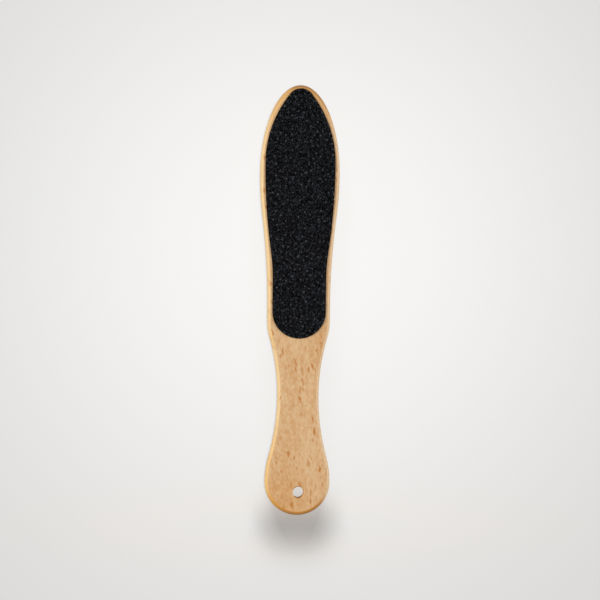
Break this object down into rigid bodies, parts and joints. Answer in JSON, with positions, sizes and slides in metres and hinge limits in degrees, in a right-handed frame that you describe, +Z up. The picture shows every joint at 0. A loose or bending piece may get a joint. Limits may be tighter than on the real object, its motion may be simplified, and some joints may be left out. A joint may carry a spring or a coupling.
{
  "type": "foot file",
  "caption": "Flat wooden paddle foot file with a coarse black abrasive pad on one face, a finer pad on the other and a hanging hole in the rounded handle end.",
  "frame": {"origin": "middle of the paddle's length and width, on the plane of the fine grit that the file lies on", "axes": "+X across the paddle to the right as seen on the coarse face with the tip up, +Y along it to the tip, +Z up out of the coarse face"},
  "size_m": [0.0482, 0.26, 0.0084],
  "materials": {
    "beech": "sanded beech under a thin satin lacquer",
    "adhesive": "pressure-sensitive film",
    "backing_paper": "heavy resin-sized paper, die-cut edge",
    "coarse_grit": "coarse black crystalline grains in dark resin",
    "fine_grit": "finer black crystalline grains in dark resin"
  },
  "bodies": {
    "root": {"paddle_board": "beech", "front_adhesive_film": "adhesive", "front_backing_sheet": "backing_paper", "front_grit_coat": "coarse_grit", "rear_adhesive_film": "adhesive", "rear_backing_sheet": "backing_paper", "rear_grit_coat": "fine_grit"}
  },
  "joints": []
}
